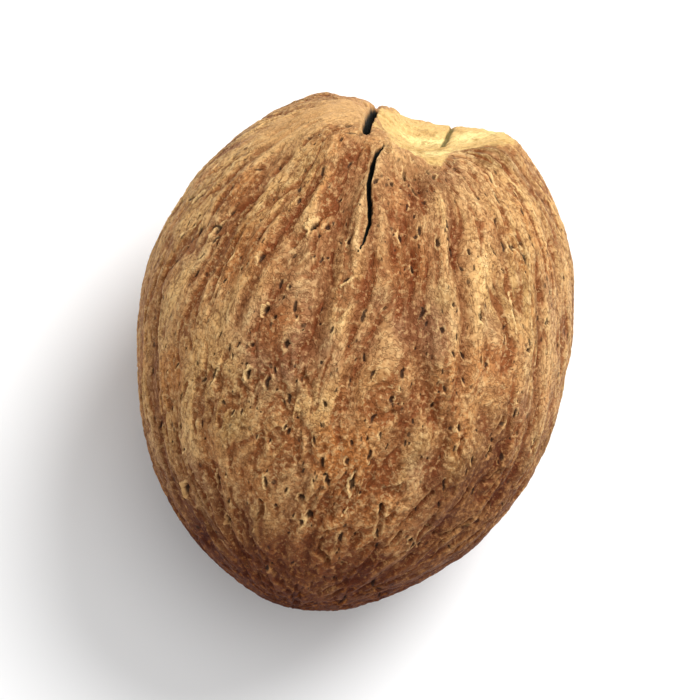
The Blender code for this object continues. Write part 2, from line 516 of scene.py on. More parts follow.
@dataclass(frozen=True)
class Wrinkles:
    """Fine ridges and hollows, along the grain on most of the seed and curly elsewhere."""

    seed_number: int = 37
    fibre_around: float = 31.0
    fibre_along: float = 10.0
    curl_cells: float = 23.0
    height: float = 0.075
    grit_cells: float = 46.0
    grit_height: float = 0.028
    curly: tuple[tuple[float, float, float], ...] = (
        (122.0, 40.0, 4.2),
        (120.0, 88.0, 5.0),
        (100.0, 112.0, 3.6),
        (95.0, 68.0, 3.0),
        (112.0, 205.0, 4.5),
        (75.0, 285.0, 4.5),
        (130.0, 300.0, 4.0),
    )

    def curliness(self, skin: Skin) -> np.ndarray:
        """Return how much the grain is lost at each point of the skin."""
        drift = SmoothField(self.seed_number + 1).at(skin.directions * 4.0)
        lost = 0.30 + 0.22 * ease(1.45, 1.95, skin.polar) + 0.30 * drift
        lost = np.clip(lost, 0.0, 1.0)
        for polar, turn, reach in self.curly:
            middle = skin.seed.around_scar(math.radians(polar), math.radians(turn))
            away = np.arccos(np.clip(skin.directions @ middle, -1.0, 1.0)) * 12.0
            lost = np.maximum(lost, 1.0 - ease(0.5 * reach, 1.3 * reach, away))
        return lost

    def press(self, skin: Skin) -> None:
        """Raise the ridges, sink the hollows and mark how high each point is."""
        noise = SmoothField(self.seed_number)
        lost = self.curliness(skin)
        swirl = np.stack([noise.at(skin.directions * 9.0 + 50.0 * n) for n in (1, 2, 3)], 1)
        curled = skin.directions * self.curl_cells + 1.1 * swirl
        fibre = noise.at(skin.ring_places(self.fibre_around, self.fibre_along) + 211.0)
        curl = noise.at(curled)
        ridged = 0.9 - 2.6 * np.abs(curl)
        grit = noise.at(skin.directions * self.grit_cells + 3.0)
        fine = fibre * (1.0 - lost) + (0.55 * ridged + 0.45 * curl) * lost
        fine *= 1.0 - 0.5 * skin.marks[Mark.VALLEY]
        skin.height += self.height * fine + self.grit_height * grit
        skin.add(Mark.CURL, lost)
        relief = 0.5 + 0.60 * (fine + 0.45 * grit)
        skin.add(Mark.RELIEF, np.clip(relief, 0.0, 1.0))


@dataclass(frozen=True)
class Hollow:
    """One small hole in the skin with a low rim, longer down the seed than across."""

    middle: np.ndarray
    half_length: float
    half_width: float
    depth: float
    skew: float
    rim: float

    def press(self, skin: Skin) -> None:
        """Sink the hole and raise its rim."""
        found = skin.near(self.middle, self.half_length * 2.0)
        if len(found) == 0:
            return
        start = turned(np.array([[0.0, 1.0, 0.0]], np.float32), skin.seed.grain_lift, 1, 2)[0]
        ahead = unit(start - self.middle * (start @ self.middle))
        beside = np.cross(self.middle, ahead)
        along = ahead * math.cos(self.skew) + beside * math.sin(self.skew)
        across = np.cross(self.middle, along)
        reach = skin.plain[found]
        long_part = (skin.directions[found] @ along) * reach / self.half_length
        wide_part = (skin.directions[found] @ across) * reach / self.half_width
        bow = 0.5 * math.sin(9.0 * self.skew)
        away = np.hypot(long_part, wide_part + bow * long_part * long_part)
        away = away * (1.0 + 0.55 * skin.ragged[found])
        bowl = 1.0 - ease(0.30, 1.20, away)
        sided = np.clip(0.5 + 0.5 * wide_part * math.copysign(1.0, self.skew), 0.0, 1.0)
        rim = self.rim * bell(away - 1.4, 0.40) * sided
        shown = 1.0 - skin.marks[Mark.SCAR][found]
        skin.height[found] += (0.25 * rim - bowl) * self.depth * shown
        # The pale colour of the rim is a painted highlight.
        pits, rim_highlights = skin.marks[Mark.PIT], skin.marks[Mark.RIM_HIGHLIGHT]
        pits[found] = np.maximum(pits[found], bowl * shown)
        rim_highlights[found] = np.maximum(rim_highlights[found], np.minimum(rim, 1.0) * shown)


@dataclass(frozen=True)
class Hollows:
    """Holes all over the skin: many small ones in drifts, and a few long, open ones."""

    seed_number: int = 53
    count: int = 1150
    named: tuple[tuple[float, float, float, float, float], ...] = (
        (72.0, 42.0, 0.62, 0.14, 0.6),
        (72.5, 54.6, 0.40, 0.12, 0.7),
        (61.0, 145.0, 0.55, 0.10, 0.5),
        (53.0, 111.0, 0.34, 0.16, 0.8),
        (123.6, 125.0, 0.50, 0.15, 0.4),
        (118.7, 85.9, 0.46, 0.16, 1.0),
        (31.8, 79.0, 0.42, 0.12, 0.2),
        (52.6, 67.4, 0.36, 0.11, 0.4),
        (128.5, 96.5, 0.30, 0.22, 0.4),
        (124.1, 99.3, 0.26, 0.22, 0.4),
        (109.0, 46.0, 0.30, 0.12, 0.6),
        (128.8, 138.6, 0.34, 0.18, 1.0),
        (133.7, 123.3, 0.34, 0.18, 1.0),
        (29.8, 78.4, 0.40, 0.14, 0.4),
        (52.8, 110.9, 0.32, 0.17, 1.0),
        (78.4, 117.0, 0.30, 0.15, 1.0),
        (95.4, 117.7, 0.34, 0.12, 0.8),
        (85.8, 108.6, 0.24, 0.18, 0.3),
    )

    def scattered(self, seed: Seed) -> list[Hollow]:
        """Return the scattered holes, thicker in some drifts than in others."""
        random = np.random.default_rng(self.seed_number)
        noise = SmoothField(self.seed_number + 1)
        tries = unit(random.normal(size=(self.count * 3, 3))).astype(np.float32)
        drift = 0.25 + 0.75 * ease(-0.5, 0.5, noise.at(tries * 3.2))
        kept = tries[random.random(len(tries)) < drift][: self.count]
        hollows = []
        for middle in kept:
            size = random.lognormal(0.0, 0.35)
            half_width = min(0.075 * size, 0.13)
            half_length = half_width * (1.3 + 2.6 * random.random())
            skew = 0.30 * random.normal()
            rim = max(0.1, min(1.0, 0.55 + 0.30 * random.normal()))
            depth = min(0.10 * size, 0.16)
            hollows.append(Hollow(middle, half_length, half_width, depth, skew, rim))
        return hollows

    def press(self, skin: Skin) -> None:
        """Press every hole, scattered ones first."""
        for hollow in self.scattered(skin.seed):
            hollow.press(skin)
        for polar, turn, half_length, half_width, rim in self.named:
            middle = skin.seed.around_scar(math.radians(polar), math.radians(turn))
            Hollow(middle, half_length, half_width, 0.28, 0.05, 2.0 * rim).press(skin)


@dataclass(frozen=True)
class Crack:
    """One dry crack between two places, each a polar angle and a turn around the scar."""

    start: tuple[float, float]
    end: tuple[float, float]
    width: float
    depth: float
    wander: float
    taper: tuple[float, float]
    seed_number: int
    jag: float = 0.07
    bends: float = 1.05
    mark: Mark = Mark.CRACK

    def press(self, skin: Skin) -> None:
        """Open the crack, widest near its start and jagged along its length."""
        noise = SmoothField(self.seed_number)
        first = skin.seed.around_scar(*(math.radians(angle) for angle in self.start))
        last = skin.seed.around_scar(*(math.radians(angle) for angle in self.end))
        whole = math.acos(float(np.clip(first @ last, -1.0, 1.0)))
        across_axis = unit(np.cross(first, last))
        found = skin.near(unit(first + last), 6.5 * whole + 1.5)
        directions = skin.directions[found]
        ahead = np.cross(across_axis, first)
        share = np.arctan2(directions @ ahead, directions @ first) / whole
        line = np.zeros((len(share), 3), np.float32)
        line[:, 0] = share * whole * 9.0
        drift = self.wander * np.sin(self.bends * 2.0 * math.pi * share)
        drift += self.jag * (noise.at(line) + 0.5 * noise.at(line * 3.3 + 4.0))
        aside = (directions @ across_axis) * skin.plain[found] - drift
        inside = ease(-0.02, 0.10, share) * (1.0 - ease(*self.taper, share)) ** 0.7
        inside *= 1.0 + 0.25 * noise.at(line * 2.0 + 8.0)
        half = 0.5 * self.width * np.maximum(inside, 1e-3)
        gap = np.clip(1.3 - np.abs(aside) / half, 0.0, 1.0) * (inside > 0.03)
        lip = bell(np.abs(aside) - 1.7 * half, 0.10) * np.clip(inside, 0.0, 1.0)
        skin.height[found] -= self.depth * gap * (0.35 + 0.65 * inside)
        skin.height[found] += 0.03 * lip
        skin.marks[self.mark][found] = np.maximum(skin.marks[self.mark][found], gap)
        # Pale colour on the crack's lip: painted highlight.
        skin.marks[Mark.RIM_HIGHLIGHT][found] = np.maximum(skin.marks[Mark.RIM_HIGHLIGHT][found], 0.5 * lip)


@dataclass(frozen=True)
class Hooks:
    """Curved grooves near the tip, each with its two ends around the scar and its bow."""

    width: float = 0.30
    depth: float = 0.26
    grooves: tuple[tuple[float, float, float, float, float], ...] = (
        (123.3, 36.3, 131.0, 51.5, 0.50),
        (118.0, 50.4, 125.5, 54.0, 0.15),
        (118.8, 62.0, 124.5, 66.8, 0.12),
        (128.4, 59.0, 133.8, 61.5, -0.15),
        (99.5, 43.1, 105.5, 46.7, 0.12),
        (105.0, 57.0, 111.0, 56.8, -0.10),
        (130.2, 68.0, 136.2, 72.6, 0.15),
        (122.5, 76.9, 134.0, 76.4, 0.20),
        (127.0, 44.0, 132.5, 57.0, 0.30),
        (113.5, 40.0, 118.5, 46.0, 0.20),
        (108.0, 34.0, 114.0, 37.0, 0.18),
        (126.0, 111.0, 132.0, 113.0, 0.15),
        (137.0, 94.0, 142.0, 88.0, 0.20),
    )

    def press(self, skin: Skin) -> None:
        """Sink every groove, with a ragged edge and a soft colour."""
        for number, (polar, turn, last_polar, last_turn, bow) in enumerate(self.grooves):
            ends = (polar, turn), (last_polar, last_turn)
            taper = (0.55, 1.0)
            groove = Crack(
                *ends, self.width, self.depth, bow, taper, 100 + number, 0.10, 0.5, Mark.STREAK
            )
            groove.press(skin)


@dataclass(frozen=True)
class Scar:
    """The dished crown and its pale scar, with a torn edge and a shallow groove."""

    seed_number: int = 71
    dish_aside: float = 2.2
    dish_radius: float = 4.2
    dish_depth: float = 0.45
    lip_height: float = 0.55
    lip_spread: float = 1.4
    crest_aside: float = -3.5
    crest_height: float = 0.78
    crest_spread: float = 2.2
    trough_aside: float = 1.7
    trough_depth: float = 0.55
    trough_spreads: tuple[float, float] = (1.3, 2.6)
    middle: tuple[float, float] = (2.7, -0.9)
    half_size: tuple[float, float] = (3.9, 6.0)
    squareness: float = 2.8
    corner: tuple[float, float] = (3.2, 0.4)
    corner_cut: float = 0.55
    edge_wander: float = 0.30
    edge_width: float = 0.06
    edge_step: float = 0.10
    grain_height: float = 0.10
    halo_width: float = 0.55
    groove_aside: float = 3.2
    groove_width: float = 0.24
    groove_depth: float = 0.30
    groove_end: float = -0.4
    bright: tuple[tuple[float, float, float], ...] = (
        (1.3, -2.7, 1.0),
        (2.4, -2.0, 1.3),
        (2.7, 2.6, 1.5),
        (4.5, -2.2, 1.2),
    )

    def press(self, skin: Skin) -> None:
        """Shape the crown, then mark and roughen the scar on it."""
        aside, up, facing = skin.seed.on_scar(skin.directions)
        self.press_crown(skin, aside, up, facing)
        noise = SmoothField(self.seed_number)
        x = (aside - self.middle[0]) / self.half_size[0]
        y = (up - self.middle[1]) / self.half_size[1]
        tear = noise.layered(skin.directions * 7.0, 3, 0.6)
        power = self.squareness
        edge = (np.abs(x) ** power + np.abs(y) ** power) ** (1.0 / power)
        cut = ease(0.0, 0.8, aside - self.corner[0]) * ease(0.0, 2.2, up - self.corner[1])
        edge = edge + self.edge_wander * tear + self.corner_cut * cut
        toward = facing > 0.2
        share = (1.0 - ease(1.0 - self.edge_width, 1.0 + self.edge_width, edge)) * toward
        halo = 0.55 * (1.0 - ease(1.0, 1.0 + self.halo_width, edge)) * toward * (1.0 - 0.8 * cut)
        grains = noise.layered(skin.directions * 16.0 + 40.0, 3, 0.6)
        skin.height -= self.edge_step * share
        skin.height += self.grain_height * grains * share
        wander = 0.3 * noise.at(np.stack((up * 0.6, up * 0.0, up * 0.0), 1) + 3.0)
        off_groove = np.abs(aside - self.groove_aside + 0.06 * up - 0.4 * wander)
        ended = 1.0 - ease(self.groove_end - 0.8, self.groove_end, up)
        groove = np.clip(1.0 - off_groove / self.groove_width, 0.0, 1.0) * ended * share
        bright = np.zeros_like(share)
        for spot_aside, spot_up, reach in self.bright:
            away = np.hypot(aside - spot_aside, up - spot_up) * (1.0 + 0.4 * tear)
            bright = np.maximum(bright, bell(away, reach))
        skin.height -= self.groove_depth * groove
        skin.add(Mark.GROOVE, groove)
        share = share * ease(-1.25, -0.95, aside)
        skin.add(Mark.SCAR, share)
        skin.add(Mark.BRIGHT, bright * share)
        skin.add(Mark.HALO, halo)

    def press_crown(
        self, skin: Skin, aside: np.ndarray, up: np.ndarray, facing: np.ndarray
    ) -> None:
        """Sink the dish and the trough, and raise the lips and the crest beside them.

        Args:
            skin: Skin to shape.
            aside: Place of each point sideways on the scar's face.
            up: Place of each point upwards on the scar's face.
            facing: How squarely each point's direction meets the face.
        """
        off_dish = np.hypot(aside - self.dish_aside, up)
        dish = 1.0 - ease(0.45 * self.dish_radius, 1.2 * self.dish_radius, off_dish)
        sideways = ((aside - self.dish_aside) / np.maximum(off_dish, 1e-3)) ** 2
        lip = sideways * bell(off_dish - self.dish_radius, self.lip_spread)
        spread = np.where(aside < self.trough_aside, *self.trough_spreads)
        wave = self.crest_height * bell(aside - self.crest_aside, self.crest_spread)
        wave -= self.trough_depth * bell(aside - self.trough_aside, spread)
        wave *= ease(0.72, 0.90, facing)
        skin.height += (self.lip_height * lip - self.dish_depth * dish) * (facing > 0.2) + wave


@dataclass(frozen=True)
class Tip:
    """The narrow end, where the furrows gather in a small dimple and the colour darkens, partly as
    the seed's own darker end and partly as painted shade.
    """

    seed_number: int = 83
    polar: float = math.radians(166.0)
    turn: float = math.radians(268.0)
    radius: float = 1.5
    depth: float = 0.35
    dark_reach: tuple[float, float] = (5.5, 18.0)

    def press(self, skin: Skin) -> None:
        """Sink the dimple and mark the darker colour around it, partly painted shade."""
        noise = SmoothField(self.seed_number)
        middle = skin.seed.around_scar(self.polar, self.turn)
        away = np.arccos(np.clip(skin.directions @ middle, -1.0, 1.0)) * 12.0
        away = away * (1.0 + 0.15 * noise.at(skin.directions * 9.0))
        dimple = 1.0 - ease(0.15 * self.radius, self.radius, away)
        rim = bell(away - 1.25 * self.radius, 0.4 * self.radius)
        skin.height += self.depth * (0.3 * rim - dimple)
        ragged = away + 1.2 * noise.at(skin.ring_places(5.0, 2.5))
        # The darkening near the tip is partly the seed's own colour and partly painted shade.
        skin.add(Mark.TIP, 1.0 - ease(*self.dark_reach, ragged))


@dataclass(frozen=True)
class Tones:
    """Broad drifts of lighter, darker, redder and greyer skin."""

    seed_number: int = 97

    def press(self, skin: Skin) -> None:
        """Mark the drifts, without any relief."""
        noise = SmoothField(self.seed_number)
        broad = noise.layered(skin.ring_places(2.0, 1.2), 3, 0.6)
        skin.add(Mark.TONE, 0.5 + 0.5 * np.clip(broad * 1.3, -1.0, 1.0))
        for number, mark in enumerate((Mark.RUST, Mark.PLUM, Mark.GOLD, Mark.OLIVE_AND_SHADE)):
            drift = noise.layered(skin.ring_places(4.6, 2.2) + 40.0 * (number + 1), 2, 0.5)
            skin.add(mark, 0.75 * ease(0.12, 0.62, drift))


@dataclass(frozen=True)
class RestSpot:
    """The place underneath where the relief fades, so that the seed stands flat."""

    fade_inner: float = math.radians(9.0)
    fade_outer: float = math.radians(22.0)

    def press(self, skin: Skin) -> None:
        """Fade the relief around the lowest part of the seed."""
        pitched = turned(skin.directions, skin.seed.rest_pitch, 1, 2)
        below = np.arccos(np.clip(-pitched[:, 2], -1.0, 1.0))
        skin.height *= ease(self.fade_inner, self.fade_outer, below)


@dataclass
class SeedBuilder:
    """Builds the seed's mesh, from a dense pressed skin to the thinned, placed piece."""

    seed: Seed
    grid_levels: int = 8
    face_budget: int = 197_000
    map_reach: float = math.radians(48.0)

    def features(self) -> list:
        """Return every feature of the skin, in the order that it is pressed."""
        return [
            Scar(),
            Lumps(),
            Wander(),
            Furrows(),
            Valley(((16, 110), (25, 108), (47, 105), (75, 103), (104, 103)), 0.7, 0.42, Mark.VALLEY),
            Valley(((16, 70), (47, 79), (71, 77), (86, 75), (118, 60)), 0.78, 0.40, Mark.VALLEY),
            Valley(((28, 120), (60, 121), (98, 124)), 0.36, 0.16, Mark.VALLEY),
            Valley(((26, 93), (60, 91), (95, 92)), 0.34, 0.14, Mark.VALLEY),
            Valley(((24, 60), (60, 60), (104, 57)), 0.40, 0.18, Mark.VALLEY),
            Dashes(),
            Streaks(),
            Tones(),
            Patch(Mark.GOLD, 16.9, 149.0, 2.2, 0.9),
            Patch(Mark.GOLD, 28.2, 155.0, 2.8),
            Patch(Mark.GOLD, 41.2, 177.0, 4.0),
            Patch(Mark.GOLD, 62.0, 188.0, 4.6),
            Patch(Mark.GOLD, 60.0, 168.0, 3.0, 0.8),
            Patch(Mark.GOLD, 46.0, 16.0, 4.0, 0.8),
            Patch(Mark.GOLD, 67.0, 45.0, 3.2, 0.9),
            Patch(Mark.GOLD, 98.0, 101.0, 1.6),
            Patch(Mark.GOLD, 108.0, 142.0, 3.4, 0.6),
            Patch(Mark.GOLD, 45.0, 128.0, 2.8, 0.7),
            Patch(Mark.GOLD, 100.0, 128.0, 3.0, 0.6),
            Patch(Mark.RUST, 113.0, 88.0, 2.2),
            Patch(Mark.RUST, 65.0, 125.0, 2.2, 0.5),
            Patch(Mark.RUST, 58.0, 79.0, 1.8, 0.8),
            Patch(Mark.RUST, 133.0, 84.0, 4.0),
            Patch(Mark.PLUM, 87.0, 110.0, 3.0),
            Patch(Mark.PLUM, 76.0, 74.0, 2.0),
            Patch(Mark.PLUM, 30.0, 66.0, 2.0, 0.8),
            Patch(Mark.HALO, 17.0, 149.0, 2.2),
            Patch(Mark.HALO, 28.0, 155.0, 2.4, 0.8),
            # Painted shade at the scar's cut corner.
            Patch(Mark.OLIVE_AND_SHADE, 28.5, 28.0, 1.5),
            # Darker patch near the tip: partly painted shade.
            Patch(Mark.TIP, 124.0, 44.0, 4.6, 0.6),
            Wrinkles(),
            Hollows(),
            Hooks(),
            Tip(),
            Crack((24.0, 259.4), (22.4, 105.6), 0.38, 1.20, 0.0, (0.97, 1.02), 5, 0.02),
            Crack((24.5, 92.5), (60.5, 94.3), 0.25, 0.80, -0.30, (0.45, 1.00), 6),
            RestSpot(),
        ]

    def press_all(self, directions: np.ndarray) -> Skin:
        """Press every feature into a fresh skin.

        Args:
            directions: Directions of the skin's points from the seed's middle.

        Returns:
            The pressed skin.
        """
        skin = Skin(self.seed, directions.astype(np.float32))
        for feature in self.features():
            feature.press(skin)
        return skin

    def dense_ball(self) -> bpy.types.Object:
        """Return an even ball of small faces, made from a finely divided cube."""
        bpy.ops.mesh.primitive_cube_add(size=2.0)
        ball = bpy.context.object
        divide = ball.modifiers.new("divide", "SUBSURF")
        divide.subdivision_type = "SIMPLE"
        divide.levels = divide.render_levels = self.grid_levels
        bpy.ops.object.modifier_apply(modifier=divide.name)
        places = get_places(ball.data)
        set_places(ball.data, unit(np.tan(0.25 * math.pi * places)))
        return ball

    def build(self) -> bpy.types.Object:
        """Build the piece.

        Returns:
            The finished mesh object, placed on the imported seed, without a finish.
        """
        piece = self.dense_ball()
        piece.name = piece.data.name = "nutmeg_seed"
        dense = self.press_all(get_places(piece.data))
        set_places(piece.data, dense.places())
        thin = piece.modifiers.new("thin", "DECIMATE")
        thin.ratio = self.face_budget / (2.0 * len(piece.data.polygons))
        thin.use_collapse_triangulate = True
        bpy.ops.object.modifier_apply(modifier=thin.name)
        directions = unit(self.seed.lean(get_places(piece.data), -1.0))
        skin = self.press_all(directions)
        self.store_marks(piece.data, skin)
        self.store_map(piece.data, directions)
        set_places(piece.data, self.lay_down(skin.places()))
        piece.data.shade_smooth()
        return piece

    def lay_down(self, places: np.ndarray) -> np.ndarray:
        """Pitch the seed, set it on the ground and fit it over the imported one.

        Args:
            places: Places of the skin from the seed's middle, in millimetres.

        Returns:
            The same places in metres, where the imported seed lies.
        """
        low, high = (np.array(corner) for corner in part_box(NODE))
        scale = (high[1] - low[1]) / self.seed.design_length
        laid = turned(places, self.seed.rest_pitch, 1, 2)
        laid[:, 2] -= laid[:, 2].min() + self.seed.rest_wear
        laid[:, 2] = np.maximum(laid[:, 2], 0.0)
        laid[:, :2] -= 0.5 * (laid[:, :2].max(0) + laid[:, :2].min(0))
        laid *= scale
        laid[:, :2] += 0.5 * (high[:2] + low[:2])
        laid[:, 2] += low[2]
        return laid

    def store_marks(self, mesh: bpy.types.Mesh, skin: Skin) -> None:
        """Store the skin's marks and the run of its grain on the mesh."""
        for mark in Mark:
            layer = mesh.attributes.new(mark.value, "FLOAT", "POINT")
            layer.data.foreach_set("value", np.clip(skin.marks[mark], 0.0, 1.0))
        layer = mesh.attributes.new("grain", "FLOAT_VECTOR", "POINT")
        layer.data.foreach_set("vector", skin.ring_places(12.0, 12.0).astype(np.float32).ravel())

    def store_map(self, mesh: bpy.types.Mesh, directions: np.ndarray) -> None:
        """Store a flat map of the skin, as the six sides of a cube laid in a sheet.

        Args:
            mesh: Mesh made of triangles.
            directions: Direction of each of its points from the seed's middle.
        """
        corners = np.empty(len(mesh.loops), np.int32)
        mesh.loops.foreach_get("vertex_index", corners)
        middle = directions[corners].reshape(-1, 3, 3).sum(1)
        axis = np.abs(middle).argmax(1)
        positive = np.take_along_axis(middle, axis[:, None], 1)[:, 0] > 0.0
        axis = np.repeat(axis, 3)
        positive = np.repeat(positive, 3)
        point = directions[corners]
        rows = np.arange(len(corners))
        depth = np.abs(point[rows, axis])
        first = np.arctan2(point[rows, (axis + 1) % 3], depth) * np.where(positive, 1.0, -1.0)
        second = np.arctan2(point[rows, (axis + 2) % 3], depth)
        across = (0.5 + 0.5 * first / self.map_reach + axis) / 3.0
        upward = (0.5 + 0.5 * second / self.map_reach + positive) / 2.0
        layer = mesh.uv_layers.new(name="OFBake")
        layer.data.foreach_set("uv", np.stack((across, upward), 1).astype(np.float32).ravel())


def get_places(mesh: bpy.types.Mesh) -> np.ndarray:
    """Return a mesh's points, one a row."""
    flat = np.empty(len(mesh.vertices) * 3, np.float32)
    mesh.vertices.foreach_get("co", flat)
    return flat.reshape(-1, 3)


def set_places(mesh: bpy.types.Mesh, places: np.ndarray) -> None:
    """Move a mesh's points."""
    mesh.vertices.foreach_set("co", places.astype(np.float32).ravel())
    mesh.update()


Colour = tuple[float, float, float]


def linear(colour: Colour) -> tuple[float, float, float, float]:
    """Turn a colour as a screen shows it, 0 to 255 a part, into one for a shader."""
    parts = (part / 255.0 for part in colour)
    bent = [p / 12.92 if p <= 0.04045 else ((p + 0.055) / 1.055) ** 2.4 for p in parts]
    return (bent[0], bent[1], bent[2], 1.0)


class NodeSheet:
    """Short ways of adding nodes to one material."""

    def __init__(self, name: str) -> None:
        """Start a material with only its output.

        Args:
            name: Name of the material.
        """
        self.material = bpy.data.materials.new(name)
        self.material.use_nodes = True
        self.tree = self.material.node_tree
        self.shader = self.tree.nodes["Principled BSDF"]

    def link(self, source: bpy.types.NodeSocket, target: bpy.types.NodeSocket) -> None:
        """Join two sockets."""
        self.tree.links.new(source, target)

    def attribute(self, name: str) -> bpy.types.Node:
        """Add a node that reads a mark or the grain from the mesh."""
        node = self.tree.nodes.new("ShaderNodeAttribute")
        node.attribute_name = name
        return node

    def mark(self, mark: Mark) -> bpy.types.NodeSocket:
        """Return the share that a mark has."""
        return self.attribute(mark.value).outputs["Fac"]

    def scaled(
        self, source: bpy.types.NodeSocket, scale: tuple[float, float, float]
    ) -> bpy.types.NodeSocket:
        """Return a vector scaled along each axis."""
        node = self.tree.nodes.new("ShaderNodeVectorMath")
        node.operation = "MULTIPLY"
        self.link(source, node.inputs[0])
        node.inputs[1].default_value = scale
        return node.outputs["Vector"]

    def noise(
        self, vector: bpy.types.NodeSocket, scale: float, detail: float, roughness: float = 0.5
    ) -> bpy.types.NodeSocket:
        """Return a noise value read at a vector."""
        node = self.tree.nodes.new("ShaderNodeTexNoise")
        node.inputs["Scale"].default_value = scale
        node.inputs["Detail"].default_value = detail
        node.inputs["Roughness"].default_value = roughness
        self.link(vector, node.inputs["Vector"])
        return node.outputs["Fac"]

    def cells(self, vector: bpy.types.NodeSocket, scale: float) -> bpy.types.Node:
        """Return a node that gives the distance to the nearest of many scattered points."""
        node = self.tree.nodes.new("ShaderNodeTexVoronoi")
        node.inputs["Scale"].default_value = scale
        self.link(vector, node.inputs["Vector"])
        return node

    def remap(
        self, source: bpy.types.NodeSocket, low: float, high: float, top: float = 1.0
    ) -> bpy.types.NodeSocket:
        """Return a share that eases from 0 at low to top at high."""
        node = self.tree.nodes.new("ShaderNodeMapRange")
        node.interpolation_type = "SMOOTHSTEP"
        node.inputs["From Min"].default_value = low
        node.inputs["From Max"].default_value = high
        node.inputs["To Max"].default_value = top
        self.link(source, node.inputs["Value"])
        return node.outputs["Result"]

    def math(
        self, operation: str, first: bpy.types.NodeSocket, second: bpy.types.NodeSocket | float
    ) -> bpy.types.NodeSocket:
        """Return the result of a sum on two values."""
        node = self.tree.nodes.new("ShaderNodeMath")
        node.operation = operation
        self.link(first, node.inputs[0])
        if isinstance(second, bpy.types.NodeSocket):
            self.link(second, node.inputs[1])
        else:
            node.inputs[1].default_value = second
        return node.outputs["Value"]

    def blend(
        self, share: bpy.types.NodeSocket, first: bpy.types.NodeSocket, second: bpy.types.NodeSocket
    ) -> bpy.types.NodeSocket:
        """Return one value blended into another by a share."""
        node = self.tree.nodes.new("ShaderNodeMix")
        self.link(share, node.inputs["Factor"])
        self.link(first, node.inputs[2])
        self.link(second, node.inputs[3])
        return node.outputs[0]

    def mix(
        self,
        share: bpy.types.NodeSocket,
        first: bpy.types.NodeSocket | Colour,
        second: bpy.types.NodeSocket | Colour,
        way: str = "MIX",
    ) -> bpy.types.NodeSocket:
        """Return one colour blended into another by a share."""
        node = self.tree.nodes.new("ShaderNodeMix")
        node.data_type = "RGBA"
        node.blend_type = way
        self.link(share, node.inputs["Factor"])
        for value, socket in ((first, node.inputs[6]), (second, node.inputs[7])):
            if isinstance(value, bpy.types.NodeSocket):
                self.link(value, socket)
            else:
                socket.default_value = linear(value)
        return node.outputs[2]


